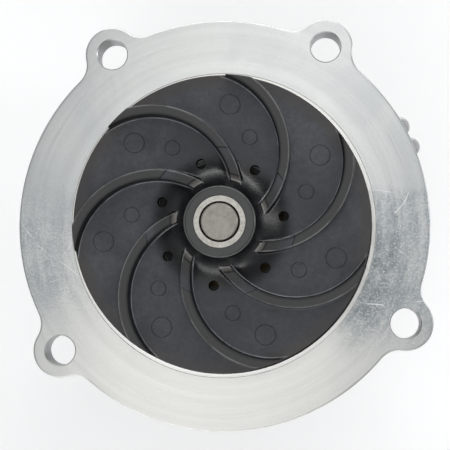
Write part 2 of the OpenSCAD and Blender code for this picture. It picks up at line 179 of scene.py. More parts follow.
def mesh_of(name: str, skins: Sequence[Skin]) -> bpy.types.Mesh:
    """Joins closed skins into one mesh, in metres, with every face looking outwards.

    Args:
        name: the mesh's name.
        skins: closed surfaces. A skin whose signed volume is negative has its faces turned.

    Returns:
        The mesh, with coincident points merged at poles.
    """
    points, faces, guides, start = [], [], [], 0
    for skin in skins:
        p, f = skin.points.reshape(-1, 3) / METRE, skin.faces()
        a, b, c, d = (p[f[:, n]] for n in range(4))
        first, second = np.cross(b, c), np.cross(c, d)
        volume = np.einsum("ij,ij->i", a, first).sum() + np.einsum("ij,ij->i", a, second).sum()
        points.append(p)
        guides.append(np.zeros((len(p), 2)) if skin.guide is None else skin.guide.reshape(-1, 2))
        faces.append((f if volume > 0 else f[:, ::-1]) + start)
        start += len(p)
    p, f = np.concatenate(points), np.concatenate(faces)
    mesh = bpy.data.meshes.new(name)
    mesh.vertices.add(len(p))
    mesh.vertices.foreach_set("co", p.astype(np.float32).ravel())
    mesh.loops.add(f.size)
    mesh.loops.foreach_set("vertex_index", f.ravel().astype(np.int32))
    mesh.polygons.add(len(f))
    mesh.polygons.foreach_set("loop_start", np.arange(0, f.size, 4, dtype=np.int32))
    mesh.update(calc_edges=True)
    if any(skin.guide is not None for skin in skins):
        guide = np.concatenate(guides)[f.ravel()].astype(np.float32)
        mesh.uv_layers.new(name="guide").uv.foreach_set("vector", guide.ravel())
    mesh.validate()
    build = bmesh.new()
    build.from_mesh(mesh)
    bmesh.ops.remove_doubles(build, verts=build.verts, dist=2e-7)
    build.to_mesh(mesh)
    build.free()
    return mesh


def smooth(mesh: bpy.types.Mesh, degrees: float = 38.0) -> None:
    """Shades a mesh smooth, with its sharp edges where faces turn by more than the angle.

    Args:
        mesh: the mesh to shade.
        degrees: the angle.
    """
    mesh.polygons.foreach_set("use_smooth", np.ones(len(mesh.polygons), bool))
    mesh.set_sharp_from_angle(angle=math.radians(degrees))
    mesh.update()


def drilled(mesh: bpy.types.Mesh, drills: Sequence[Skin]) -> bpy.types.Mesh:
    """The mesh with the drills' volumes taken away, worked out exactly.

    Args:
        mesh: the body to drill.
        drills: closed surfaces round what is taken away.

    Returns:
        A new mesh.
    """
    scene = bpy.context.scene.collection
    body = bpy.data.objects.new("body_to_drill", mesh)
    tool = bpy.data.objects.new("drills", mesh_of("drills", drills))
    scene.objects.link(body)
    scene.objects.link(tool)
    cut = body.modifiers.new("cut", "BOOLEAN")
    cut.operation, cut.solver, cut.object = "DIFFERENCE", "EXACT", tool
    view = bpy.context.evaluated_depsgraph_get()
    result = bpy.data.meshes.new_from_object(body.evaluated_get(view))
    for o in (body, tool):
        bpy.data.objects.remove(o)
    return result


def joined(meshes: Sequence[bpy.types.Mesh], name: str) -> bpy.types.Mesh:
    """Several meshes as one, without merging them.

    Args:
        meshes: the meshes, in order.
        name: the name of the new one.

    Returns:
        The new mesh.
    """
    build = bmesh.new()
    for mesh in meshes:
        build.from_mesh(mesh)
    result = bpy.data.meshes.new(name)
    build.to_mesh(result)
    build.free()
    return result


def piece(name: str, mesh: bpy.types.Mesh, body: str, slot: str, material: bpy.types.Material,
          *nodes: str) -> bpy.types.Object:
    """Makes a finished piece of a mesh: dressed, riding on its body, in place of CAD nodes.

    Args:
        name: the piece's name.
        mesh: its mesh, in metres and in place.
        body: the CAD body it moves with.
        slot: the record's material slot; not used.
        material: its finish.
        nodes: the CAD nodes that it stands for.

    Returns:
        The object.
    """
    mesh.name = name
    smooth(mesh)
    mesh.materials.clear()
    mesh.materials.append(material)
    made = bpy.data.objects.new(name, mesh)
    bpy.context.scene.collection.objects.link(made)
    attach(made, body)
    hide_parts(*nodes)
    log.info("%s: %d faces, rides on %s, stands for %s", name, len(mesh.polygons), body, ", ".join(nodes))
    return made


# --- Shader expressions ---------------------------------------------------------------


class Value:
    """A number that varies over a surface, held in a socket, with Python's operators."""

    def __init__(self, shader: "Shader", socket: bpy.types.NodeSocket) -> None:
        """Wraps a socket of a shader's node."""
        self.shader, self.socket = shader, socket

    def _math(self, operation: str, a: "Value | float", b: "Value | float" = 0.0) -> "Value":
        """The result of one Math node."""
        made = self.shader.node("ShaderNodeMath", {"operation": operation}, {0: a, 1: b})
        return Value(self.shader, made.outputs[0])

    def __add__(self, other: "Value | float") -> "Value":
        """Sum."""
        return self._math("ADD", self, other)

    def __radd__(self, other: float) -> "Value":
        """Sum, number first."""
        return self._math("ADD", other, self)

    def __sub__(self, other: "Value | float") -> "Value":
        """Difference."""
        return self._math("SUBTRACT", self, other)

    def __rsub__(self, other: float) -> "Value":
        """Difference, number first."""
        return self._math("SUBTRACT", other, self)

    def __mul__(self, other: "Value | float") -> "Value":
        """Product."""
        return self._math("MULTIPLY", self, other)

    def __rmul__(self, other: float) -> "Value":
        """Product, number first."""
        return self._math("MULTIPLY", other, self)

    def __truediv__(self, other: "Value | float") -> "Value":
        """Quotient."""
        return self._math("DIVIDE", self, other)

    def __pow__(self, other: "Value | float") -> "Value":
        """Power."""
        return self._math("POWER", self, other)

    def __abs__(self) -> "Value":
        """Size without sign."""
        return self._math("ABSOLUTE", self)

    def root(self) -> "Value":
        """Square root."""
        return self._math("SQRT", self)

    def least(self, other: "Value | float") -> "Value":
        """The smaller of two."""
        return self._math("MINIMUM", self, other)

    def most(self, other: "Value | float") -> "Value":
        """The larger of two."""
        return self._math("MAXIMUM", self, other)

    def angle(self, x: "Value") -> "Value":
        """Angle, in radians, of the point whose y is this value."""
        return self._math("ARCTAN2", self, x)

    def folded(self, length: float) -> "Value":
        """What is left over a whole number of lengths."""
        return self._math("FLOORED_MODULO", self, length)

    def ramp(self, start: float, end: float, low: float = 0.0, high: float = 1.0) -> "Value":
        """Eases from low at start to high at end, and holds outside them."""
        made = self.shader.node("ShaderNodeMapRange", {"interpolation_type": "SMOOTHSTEP", "clamp": True},
                                {0: self, 1: start, 2: end, 3: low, 4: high})
        return Value(self.shader, made.outputs[0])


Colour = tuple[float, float, float]


def add_node(tree: bpy.types.NodeTree, kind: str, settings: dict | None = None,
             inputs: dict | None = None) -> bpy.types.Node:
    """Adds one node to a tree.

    Args:
        tree: the material's or the sky's nodes.
        kind: the node's type.
        settings: its properties, set first.
        inputs: a value, colour, socket or Value for each of its sockets.

    Returns:
        The node.
    """
    made = tree.nodes.new(kind)
    for key, value in (settings or {}).items():
        setattr(made, key, value)
    for key, value in (inputs or {}).items():
        if isinstance(value, Value):
            value = value.socket
        if isinstance(value, bpy.types.NodeSocket):
            tree.links.new(value, made.inputs[key])
        elif isinstance(value, tuple) and made.inputs[key].type == "RGBA":
            made.inputs[key].default_value = (*value, 1.0)
        else:
            made.inputs[key].default_value = value
    return made


class Shader:
    """One material's nodes, round a single Principled shader."""

    def __init__(self, name: str) -> None:
        """Starts a material with a Principled shader and its output.

        Args:
            name: the material's name.
        """
        self.material = bpy.data.materials.new(name)
        self.material.use_nodes = True
        self.tree = self.material.node_tree
        self.tree.nodes.clear()
        self.principled = self.node("ShaderNodeBsdfPrincipled")
        self.node("ShaderNodeOutputMaterial", None, {"Surface": self.principled.outputs[0]})
        self.point = self.node("ShaderNodeTexCoord").outputs["Object"]
        parts = self.node("ShaderNodeSeparateXYZ", None, {0: self.point})
        self.x, self.y, self.z = (Value(self, parts.outputs[n]) for n in range(3))
        self.radius = (self.x * self.x + self.y * self.y).root()

    def node(self, kind: str, settings: dict | None = None, inputs: dict | None = None) -> bpy.types.Node:
        """Adds one node to this material, as add_node does."""
        return add_node(self.tree, kind, settings, inputs)

    def vector(self, x: "Value | float", y: "Value | float", z: "Value | float") -> bpy.types.NodeSocket:
        """A vector of three numbers."""
        return self.node("ShaderNodeCombineXYZ", None, {0: x, 1: y, 2: z}).outputs[0]

    def noise(self, scale: float, detail: float = 3.0, rough: float = 0.55,
              at: bpy.types.NodeSocket | None = None, warp: float = 0.0) -> Value:
        """Cloudy noise around one half.

        Args:
            scale: how many clouds there are in a metre.
            detail: how many times finer clouds are added.
            rough: how strong the finer ones are.
            at: where it is read, if not at the surface's own point.
            warp: how far the clouds are twisted.

        Returns:
            The noise.
        """
        inputs = {"Vector": at or self.point, "Scale": scale, "Detail": detail, "Roughness": rough,
                  "Distortion": warp}
        made = self.node("ShaderNodeTexNoise", None, inputs)
        return Value(self, made.outputs[0])

    def cells(self, scale: float, at: bpy.types.NodeSocket | None = None) -> Value:
        """Distance from the nearest of many scattered points, in cell widths."""
        made = self.node("ShaderNodeTexVoronoi", None, {"Vector": at or self.point, "Scale": scale})
        return Value(self, made.outputs[0])

    def mix(self, share: "Value | float", first: "Colour | bpy.types.NodeSocket",
            second: "Colour | bpy.types.NodeSocket") -> bpy.types.NodeSocket:
        """A colour between two, by share."""
        made = self.node("ShaderNodeMix", {"data_type": "RGBA"}, {0: share, 6: first, 7: second})
        return made.outputs[2]

    def scaled(self, colour: bpy.types.NodeSocket, by: Value) -> bpy.types.NodeSocket:
        """A colour made lighter or darker by a number."""
        made = self.node("ShaderNodeVectorMath", {"operation": "SCALE"}, {0: colour, "Scale": by})
        return made.outputs[0]

    def bump(self, height: Value, depth: float,
             under: bpy.types.NodeSocket | None = None) -> bpy.types.NodeSocket:
        """Relief of a height.

        Args:
            height: the height, where 1 is the full depth.
            depth: the full depth, in millimetres.
            under: a normal that it is added to.

        Returns:
            The normal.
        """
        inputs = {"Height": height, "Distance": depth / METRE, "Strength": 1.0}
        if under is not None:
            inputs["Normal"] = under
        return self.node("ShaderNodeBump", None, inputs).outputs[0]

    def scratches(self, turn: float, count: float, rare: float, seed: float) -> Value:
        """Fine wavy scratches: evenly spaced lines, broken up by drawn-out noise.

        Args:
            turn: the angle that they mostly run along, in radians.
            count: how many lines lie side by side in a metre.
            rare: how rare they are, from 0 to 1.
            seed: a shift, so that no two sets are alike.

        Returns:
            1 on a scratch and 0 beside it.
        """
        c, s = math.cos(turn), math.sin(turn)
        along, across = self.x * c + self.y * s, self.y * c - self.x * s
        wavy = (across * count + self.noise(32.0, 1.0) * 2.4 + seed).folded(1.0)
        gate = self.noise(1.0, 1.0, 0.5, self.vector(along * 60.0 + seed, across * count * 0.8, seed))
        return abs(wavy - 0.5).ramp(0.00019 * count, 0.00006 * count) * gate.ramp(rare, rare + 0.06)

    def finish(self, **sockets: object) -> bpy.types.Material:
        """Sets the Principled shader's sockets.

        Args:
            sockets: a value, colour, socket or Value by the socket's name, with _ for a space.

        Returns:
            The finished material.
        """
        for key, value in sockets.items():
            name = key.replace("_", " ")
            if isinstance(value, Value):
                value = value.socket
            if isinstance(value, bpy.types.NodeSocket):
                self.tree.links.new(value, self.principled.inputs[name])
            elif isinstance(value, tuple):
                self.principled.inputs[name].default_value = (*value, 1.0)
            else:
                self.principled.inputs[name].default_value = value
        return self.material


# --- Finishes -----------------------------------------------------------------------------


class Marks(Enum):
    """How a tool leaves its marks on a part."""

    NONE = "none"
    RINGS = "rings"  # circles about the axis, as facing leaves
    ROUND = "round"  # rings up a cylinder, as turning and grinding leave


@dataclass(frozen=True)
class Finish:
    """A plain finish: a mottled colour, uneven gloss, fine grain and a tool's marks."""

    name: str
    colour: Colour
    second: Colour  # the colour of its mottling, wear or dust
    metallic: float = 0.0
    rough: tuple[float, float] = (0.4, 0.55)
    cloud: float = 120.0  # mottling clouds in a metre
    grain: float = 2200.0  # grains in a metre
    grain_depth: float = 0.02  # in millimetres
    marks: Marks = Marks.NONE
    marks_depth: float = 0.012  # in millimetres
    coat: float = 0.0

    def build(self) -> bpy.types.Material:
        """Makes the material.

        Returns:
            The material.
        """
        s = Shader(self.name)
        cloud = s.noise(self.cloud, 5.0, 0.6, warp=0.4)
        fine = s.noise(self.grain, 3.0, 0.65)
        share = cloud.ramp(0.38, 0.68)
        colour = s.scaled(s.mix(share, self.colour, self.second), fine.ramp(0.25, 0.75, 0.9, 1.08))
        rough = s.noise(self.cloud * 3.1, 4.0).ramp(0.3, 0.7, *self.rough)
        normal = s.bump(fine, self.grain_depth)
        if self.marks is not Marks.NONE:
            line = s.radius if self.marks is Marks.RINGS else s.z
            rings = s.noise(1.0, 4.0, 0.75, s.vector(line * 3400.0, s.x * 30.0, s.y * 30.0))
            normal = s.bump(rings, self.marks_depth, normal)
            rough = rough + (rings - 0.5) * 0.14
        return s.finish(Base_Color=colour, Roughness=rough, Metallic=self.metallic, Normal=normal,
                        Coat_Weight=self.coat)


@dataclass(frozen=True)
class CastAluminium:
    """Die-cast aluminium, with a turned gasket face that has dulled in patches and painted shade at its
    sides.
    """

    gasket_z: float  # height of the turned face, in millimetres

    def build(self) -> bpy.types.Material:
        """Makes the material: cast skin below, painted shade inside the cavity, and tool marks, stains,
        scratches and painted shade at the sides on the face.

        Returns:
            The material.
        """
        s = Shader("cast_aluminium")
        face = s.z.ramp((self.gasket_z - 0.75) / METRE, (self.gasket_z - 0.6) / METRE)
        ledge = s.radius.ramp(0.05345, 0.05325)
        # cast skin
        grain, lumps = s.noise(2600.0, 4.0, 0.7), s.noise(420.0, 4.0, 0.6)
        pits = s.cells(900.0).ramp(0.0, 0.35)
        cast = s.mix(lumps.ramp(0.30, 0.75), (0.47, 0.475, 0.485), (0.57, 0.57, 0.57))
        # painted shade: the cast skin inside the cavity, below the face, is darkened by up to 72 %
        inside = s.radius.ramp(0.0510, 0.0505) * s.z.ramp(0.0700, 0.0702)
        cast = s.scaled(cast, grain.ramp(0.3, 0.7, 0.82, 1.1) * (1 - inside * 0.72))
        # turned face: long arcs about the axis, clear at the top and bottom, with painted shade darkening it
        # at the sides in place of the turned marks' reflection
        arcs = s.noise(1.0, 4.0, 0.7, s.vector(s.radius * 2600.0, s.x * 26.0, s.y * 26.0))
        bands = s.noise(1.0, 3.0, 0.6, s.vector(s.radius * 330.0, s.x * 9.0, s.y * 9.0))
        cloud = s.noise(48.0, 4.0, 0.6, warp=0.5)
        speckle, blots = s.noise(1300.0, 2.0, 0.8), s.noise(430.0, 5.0, 0.75, warp=0.8)
        streaks = s.noise(1.0, 5.0, 0.75, s.vector(s.radius * 380.0, s.x * 70.0, s.y * 70.0))
        right = s.x.ramp(0.034, 0.048) * s.y.ramp(0.0145, 0.0085) * s.y.ramp(-0.050, -0.030)
        deep = right * s.radius.ramp(0.068, 0.059) * s.y.ramp(0.004, -0.016)
        deep = deep * blots.ramp(0.40, 0.56, 0.35, 1.0)
        left = s.x.ramp(-0.040, -0.060) * s.y.ramp(0.022, -0.006) * s.y.ramp(-0.042, -0.016)
        painted_side_shade = abs(s.x).ramp(0.030, 0.066) * (cloud * 0.5 + 0.55)
        stain = right * (streaks * 0.45 + blots * 0.3 + cloud * 0.25).ramp(0.40, 0.60, 0.10, 0.95)
        stain = stain + left * (streaks * 0.4 + blots * 0.3 + cloud * 0.3).ramp(0.40, 0.62, 0.05, 0.8)
        flecks = (right * 1.0 + left * 0.85 + 0.10) * speckle.ramp(0.57, 0.64)
        flecks = flecks * blots.ramp(0.40, 0.58, 0.25, 1.0)
        pocks = (right * 0.85 + left * 0.8 + 0.16) * speckle.ramp(0.44, 0.37)
        pocks = pocks * blots.ramp(0.58, 0.42, 0.3, 1.0)
        marks = s.scratches(0.12, 150.0, 0.60, 1.7).most(s.scratches(1.05, 180.0, 0.63, 4.2))
        marks = marks.most(s.scratches(-0.6, 160.0, 0.63, 8.9)) * (right + left * 0.7 + 0.14)
        bright = s.mix(cloud.ramp(0.35, 0.7), (0.72, 0.73, 0.715), (0.655, 0.67, 0.665))
        bright = s.mix(s.y.ramp(0.01, -0.05) * 0.8, bright, (0.735, 0.725, 0.69))
        # painted shade: the turned face is darkened to the left and right
        bright = s.mix(painted_side_shade * 0.40, bright, (0.43, 0.46, 0.475))
        bright = s.scaled(bright, bands.ramp(0.3, 0.7, 0.95, 1.03) * arcs.ramp(0.3, 0.7, 0.965, 1.02))
        turned = s.mix(stain * 0.80, bright, (0.30, 0.345, 0.375))
        turned = s.mix(deep * 0.55, turned, (0.17, 0.20, 0.22))
        turned = s.mix(pocks * 0.60, turned, (0.23, 0.26, 0.28))
        turned = s.mix(flecks * (0.70 + deep * 0.30), turned, (0.80, 0.83, 0.84))
        turned = s.mix(marks * 0.75, turned, (0.93, 0.93, 0.92))
        step = s.mix(s.radius.ramp(0.0521, 0.0527), (0.96, 0.96, 0.93), (0.82, 0.82, 0.79))
        turned = s.mix(ledge, turned, step)
        rough = 0.30 + stain * 0.18 + (arcs - 0.5) * 0.16
        cast_rough = lumps.ramp(0.3, 0.7, 0.42, 0.62)
        skin = (grain * 0.6 + lumps * 0.7 + pits * 0.5) * 0.050
        cuts = (arcs - marks * 0.4 + speckle * (0.15 + stain * 0.6)) * 0.030
        colour = s.mix(face, cast, turned)
        rough = cast_rough * (1 - face) + rough * face
        return s.finish(Base_Color=colour, Roughness=rough, Metallic=1.0,
                        Normal=s.bump(skin * (1 - face) + cuts * face, 1.0))


@dataclass(frozen=True)
class ImpellerPlastic:
    """Dark moulded plastic, scuffed matt on top of the blades."""

    disc_z: float  # height of the disc's face, in millimetres
    blade_z: float  # height of the blade tops outside their step
    step_r: float  # radius of that step
    blades: int = 7
    first: float = 6.0  # angle of the first balance hole
    hollow_r: float = 16.0  # round of the hollow's floor
    marks: tuple[tuple[float, float, float], ...] = MOULD_MARKS

    def build(self) -> bpy.types.Material:
        """Makes the material: dust and mould rings below, painted shade in the rings' grooves, the hollow,
        the balance holes and on the blades' walls and inner sides, painted highlights along the blades' feet
        and lips, on their inner-end facets and on the boss's rim, and scuffs on the blade tops.

        Returns:
            The material.
        """
        s = Shader("impeller_plastic")
        tops = s.z.ramp((self.blade_z - 0.16) / METRE, (self.blade_z - 0.05) / METRE)
        tops = tops * s.radius.ramp(self.step_r / METRE, (self.step_r + 0.3) / METRE)
        tops = tops * s.z.ramp(0.1070, 0.1064)
        blade_map = s.node("ShaderNodeUVMap", {"uv_map": "guide"})
        guide = s.node("ShaderNodeSeparateXYZ", None, {0: blade_map.outputs[0]})
        off, inner = Value(s, guide.outputs[0]), Value(s, guide.outputs[1]).ramp(0.1, -0.1)
        cloud, fine = s.noise(60.0, 5.0, 0.6, warp=0.6), s.noise(2400.0, 3.0, 0.7)
        patchy = s.noise(130.0, 3.0, 0.6).ramp(0.35, 0.62, 0.25, 1.0)
        # painted shade: the hollow round the boss is darkened towards the axis
        hollow = s.radius.ramp(0.0265, 0.0195)
        slope = s.radius * METRE - self.step_r
        sunk = self.disc_z + self.hollow_r - (self.hollow_r**2 - slope * slope).root() - s.z * METRE
        # painted shade: the walls inside the balance holes, darkened at the end
        drill = sunk.ramp(0.05, 0.5) * s.radius.ramp(0.0245, 0.0240) * s.radius.ramp(0.0185, 0.0190)
        plastic = s.mix(cloud.ramp(0.35, 0.68), (0.030, 0.032, 0.040), (0.062, 0.066, 0.077))
        rings = self.mark_rings(s)
        dust = s.noise(520.0, 4.0, 0.75, warp=0.5)
        plastic = s.scaled(plastic, fine.ramp(0.3, 0.7, 0.84, 1.16) * dust.ramp(0.35, 0.65, 0.84, 1.14))
        # painted shade: dark lines in the mould rings' grooves, and the darkened hollow
        plastic = s.scaled(plastic, (1 - rings * 0.55) * (1 - hollow * 0.88))
        rim_dust = s.radius.ramp(0.0440, 0.0515) * cloud.ramp(0.3, 0.6, 0.3, 0.9)
        plastic = s.mix(rim_dust, plastic, (0.048, 0.041, 0.036))
        # painted shade on the blades' walls, darker on their inner side
        wall = off.ramp(1.58, 1.66) * off.ramp(2.15, 1.95)
        plastic = s.scaled(plastic, 1 - wall * (0.35 + inner * 0.4))
        shaded = off.ramp(0.75, 1.05) * off.ramp(2.0, 1.8) * inner * s.z.ramp(0.1092, 0.1088)
        root = s.radius.ramp(0.0143, 0.0150)
        # painted highlights: a light line along each blade's foot on its inner side, and along its lip on the
        # outer side
        foot = abs(off - 2.24).ramp(0.20, 0.06) * inner * patchy * root
        lip = abs(off - 1.46).ramp(0.30, 0.12) * (1 - inner) * patchy * root
        # painted reflection on the sloping facets at the blades' inner ends
        painted_facet_glare = off.ramp(1.6, 1.45) * s.radius.ramp(0.0176, 0.0156) * s.radius.ramp(0.0149, 0.0152)
        line = abs(off - 1.05).ramp(0.12, 0.04) * patchy * tops
        boss = s.z.ramp(0.1090, 0.1096)
        # painted highlight on the rounded rim of the boss's top
        painted_crown_highlight = abs(s.radius * METRE - 11.95).ramp(0.28, 0.10) * boss
        scuff = s.mix(fine.ramp(0.35, 0.65), (0.034, 0.034, 0.035), (0.050, 0.050, 0.050))
        marks = s.scratches(0.35, 120.0, 0.64, 6.1).most(s.scratches(-0.9, 130.0, 0.66, 9.3))
        colour = s.mix(tops, s.mix(marks * 0.16, plastic, (0.12, 0.12, 0.12)), scuff)
        colour = s.mix(boss, colour, s.mix(cloud, (0.032, 0.034, 0.033), (0.042, 0.043, 0.041)))
        colour = s.scaled(colour, 1 - shaded * 0.6)
        colour = s.mix(foot * 0.8, colour, (0.26, 0.28, 0.31))
        colour = s.mix((lip * 0.75).most(painted_crown_highlight * 0.35).most(line * 0.12), colour, (0.20, 0.20, 0.20))
        colour = s.mix(painted_facet_glare * fine.ramp(0.3, 0.6, 0.55, 1.0), colour, (0.27, 0.26, 0.245))
        # painted shade in the balance holes
        colour = s.scaled(colour, 1 - drill * 0.85)
        rough = cloud.ramp(0.3, 0.7, 0.33, 0.43) - hollow * 0.12
        relief = (fine * 0.5 + cloud * 1.2 - rings * 1.2) * 0.05 + s.noise(3200.0, 4.0, 0.8) * tops * 0.04
        return s.finish(Base_Color=colour, Roughness=rough * (1 - tops) + tops * 0.58,
                        Normal=s.bump(relief, 1.0), IOR=1.5)

    def mark_rings(self, s: Shader) -> Value:
        """Fine grooves round the moulding marks: the angle is folded to one blade's share first.

        Args:
            s: the shader that they are drawn in.

        Returns:
            1 on a groove and 0 off it.
        """
        share = TURN / self.blades
        folded = (s.y.angle(s.x) - math.radians(self.first)).folded(share)
        found = None
        for out, turn, size in self.marks:
            a, r = math.radians(turn), out / METRE
            across = folded - a
            away = ((s.radius - r) * (s.radius - r) + across * across * s.radius * r).root()
            ring = abs(away - (size + 0.12) / METRE).ramp(0.00022, 0.00008)
            found = ring if found is None else found.most(ring)
        return found * s.z.ramp((self.disc_z + 1.0) / METRE, (self.disc_z + 0.6) / METRE)


FINISHES = {
    f.name: f for f in (
        Finish("plug_steel", (0.60, 0.60, 0.57), (0.46, 0.45, 0.42), 1.0, (0.28, 0.42)),
        Finish("bearing_steel", (0.62, 0.63, 0.65), (0.55, 0.56, 0.58), 1.0, (0.14, 0.26), 160.0, 3000.0,
               0.004, Marks.ROUND, 0.006),
        Finish("spring_steel", (0.10, 0.10, 0.105), (0.20, 0.19, 0.18), 0.9, (0.38, 0.55), 260.0),
        Finish("seal_rubber", (0.022, 0.022, 0.024), (0.045, 0.044, 0.043), 0.0, (0.55, 0.75), 240.0,
               1800.0, 0.03),
        # the brass is darkened to a dull bronze as painted shade, for the seal seen through the balance holes
        Finish("seal_brass", (0.105, 0.078, 0.045), (0.060, 0.046, 0.030), 1.0, (0.34, 0.50), 140.0,
               2400.0, 0.01, Marks.ROUND, 0.006),
        Finish("coil_steel", (0.60, 0.60, 0.60), (0.45, 0.44, 0.43), 1.0, (0.22, 0.36), 200.0),
        Finish("seal_carbon", (0.045, 0.045, 0.048), (0.075, 0.074, 0.073), 0.0, (0.28, 0.42), 300.0,
               3200.0, 0.008, Marks.RINGS, 0.004),
        Finish("shaft_steel", (0.34, 0.32, 0.29), (0.285, 0.268, 0.243), 1.0, (0.32, 0.42), 420.0,
               2600.0, 0.010, Marks.RINGS, 0.006),
        Finish("insert_steel", (0.43, 0.42, 0.39), (0.37, 0.355, 0.325), 1.0, (0.22, 0.32), 300.0,
               2600.0, 0.004, Marks.RINGS, 0.004),
        Finish("seal_ceramic", (0.84, 0.80, 0.70), (0.76, 0.71, 0.61), 0.0, (0.16, 0.28), 180.0, 3000.0,
               0.006, coat=0.3),
        Finish("hub_iron", (0.185, 0.185, 0.19), (0.165, 0.162, 0.158), 0.9, (0.40, 0.48), 90.0, 1900.0,
               0.02, Marks.RINGS, 0.02),
        Finish("cage_nylon", (0.74, 0.65, 0.46), (0.66, 0.56, 0.38), 0.0, (0.42, 0.58), 150.0, 2000.0,
               0.02),
    )
}


# --- Housing --------------------------------------------------------------------------------


@dataclass
class Housing:
    """The cast housing: a flange with four ears, the bowl and nose behind it, and six ribs."""

    gasket_z: float = field(default_factory=lambda: top_z("housing"))
    nose_z: float = field(default_factory=lambda: low_z("housing"))
    flange_r: float = 72.0
    flange_t: float = 12.0
    edge: float = 0.55  # round at the flange's edges
    ears: tuple[float, ...] = (60.0, 123.0, 217.5, 331.5)
    ear_pitch: float = 72.0
    ear_r: float = 9.6
    blend_r: float = 8.0
    ear_hole_r: float = 5.25
    opening_r: float = 51.6
    step_r: float = 53.3  # shallow turned step round the opening
    step_t: float = 0.4
    cavity_t: float = 14.0  # depth of the cavity below the gasket face
    bearing_r: float = 19.05
    seal_r: float = 18.2
    bowl_r: float = 59.0
    nose_r: float = 25.0
    ribs: int = 6
    rib_half: float = 2.5
    rib_foot: float = 1.7  # round at the foot of a rib
    lugs: tuple[float, ...] = (22.7, 29.1)
    lug_r: float = 3.4
    lug_reach: float = 2.4  # how far a lug stands out of the flange's edge
    lug_drop: float = 4.0  # depth of a lug's top below the gasket face
    between: int = 47  # columns between two ribs
    drain_z: float = field(default_factory=lambda: low_z("weep_plug") + 5.0)

    def outline(self, angle: np.ndarray) -> tuple[np.ndarray, np.ndarray]:
        """The flange's outline at each angle: an ear's arc, a hollow arc beside it, or the circle.

        A circle of radius r whose centre lies at distance p, seen at an angle d from it, is
        p cos d + sqrt(r^2 - p^2 sin^2 d) away on its far side and the difference on its near side.

        Args:
            angle: polar angles, in radians.

        Returns:
            Points and outward normals, each one row of (x, y) for an angle.
        """
        ears = np.radians(self.ears)
        away = (angle[:, None] - ears + math.pi) % TURN - math.pi
        nearest = np.abs(away).argmin(1)
        d = away[np.arange(len(angle)), nearest]
        reach, span = self.flange_r + self.blend_r, self.ear_r + self.blend_r
        swing = math.acos((reach**2 + self.ear_pitch**2 - span**2) / (2 * reach * self.ear_pitch))
        bx, by = reach * math.cos(swing), reach * math.sin(swing)
        tx = self.ear_pitch + (bx - self.ear_pitch) * self.ear_r / span
        touch = math.atan2(by * self.ear_r / span, tx)
        size, side = np.abs(d), np.sign(d)
        ear_rise = np.maximum(self.ear_r**2 - (self.ear_pitch * np.sin(d))**2, 0)
        ear = self.ear_pitch * np.cos(d) + np.sqrt(ear_rise)
        inner = size - swing
        blend_rise = np.maximum(self.blend_r**2 - (reach * np.sin(inner))**2, 0)
        blend = reach * np.cos(inner) - np.sqrt(blend_rise)
        r = np.where(size < touch, ear, np.where(size < swing, blend, self.flange_r))
        p = np.stack([r * np.cos(angle), r * np.sin(angle)], 1)
        ea = ears[nearest]
        ear_c = self.ear_pitch * np.stack([np.cos(ea), np.sin(ea)], 1)
        ba = ea + side * swing
        blend_c = reach * np.stack([np.cos(ba), np.sin(ba)], 1)
        n = np.where((size < touch)[:, None], p - ear_c, np.where((size < swing)[:, None], blend_c - p, p))
        return p, n / np.linalg.norm(n, axis=1, keepdims=True)

    def rib_section(self) -> tuple[np.ndarray, np.ndarray, np.ndarray]:
        """A rib's cross-section, from one side's foot over the top to the other's.

        Returns:
            Distances from its middle, heights above its foot, and two rows with the depths below
            its top and which points belong to the top.
        """
        h, f = self.rib_half, self.rib_foot
        a = np.radians([0, 20, 42, 64, 90])
        foot_d, foot_h = h + f - f * np.sin(a), f - f * np.cos(a)
        b = np.radians([0, 30, 60, 90])
        top_d, top_h = h - 0.8 + 0.8 * np.cos(b), 0.8 - 0.8 * np.sin(b)
        d = np.concatenate([foot_d, top_d, [0.8, 0.0]])
        up = np.concatenate([foot_h, 0 * top_d, [0, 0]])
        down = np.concatenate([0 * foot_d, top_h, [0, 0]])
        top = np.concatenate([0 * foot_d, 0 * top_d + 1, [1, 1]])
        back = slice(-2, None, -1)
        return (np.concatenate([-d, d[back]]), np.concatenate([up, up[back]]),
                np.stack([np.concatenate([down, down[back]]), np.concatenate([top, top[back]])]))

    def columns(self, r: np.ndarray, share: np.ndarray) -> np.ndarray:
        """Angles of all columns in each row.

        Rib columns keep their distance d from a rib's middle, at asin(d / r), and the rest
        are spread between. Ear columns are spaced along the outline.

        Args:
            r: (rows, columns of one rib) radii of the rib columns.
            share: (rows, 1) 0 for ear columns and 1 for rib columns.

        Returns:
            (rows, columns) angles in radians.
        """
        d, _, _ = self.rib_section()
        near = np.arcsin(np.clip(d / r, -0.9, 0.9))
        step = TURN / self.ribs
        gap = np.linspace(0, 1, self.between + 2)[1:-1]
        wide = near[:, -1:] + gap * (near[:, :1] + step - near[:, -1:])
        one = np.concatenate([near, wide], 1)
        rib = np.concatenate([one + k * step for k in range(self.ribs)], 1)
        dense = np.linspace(-0.09, TURN - 0.09, 9001)
        p, _ = self.outline(dense)
        away = np.abs((dense[:, None] - np.radians(self.ears) + math.pi) % TURN - math.pi).min(1)
        gain = np.where(away[1:] < 0.21, 2.3, 1.0)
        length = np.concatenate([[0], np.cumsum(np.hypot(*np.diff(p, axis=0).T) * gain)])
        ear = np.interp(np.arange(rib.shape[1]) / rib.shape[1] * length[-1], length, dense)
        return ear * (1 - share) + rib * share

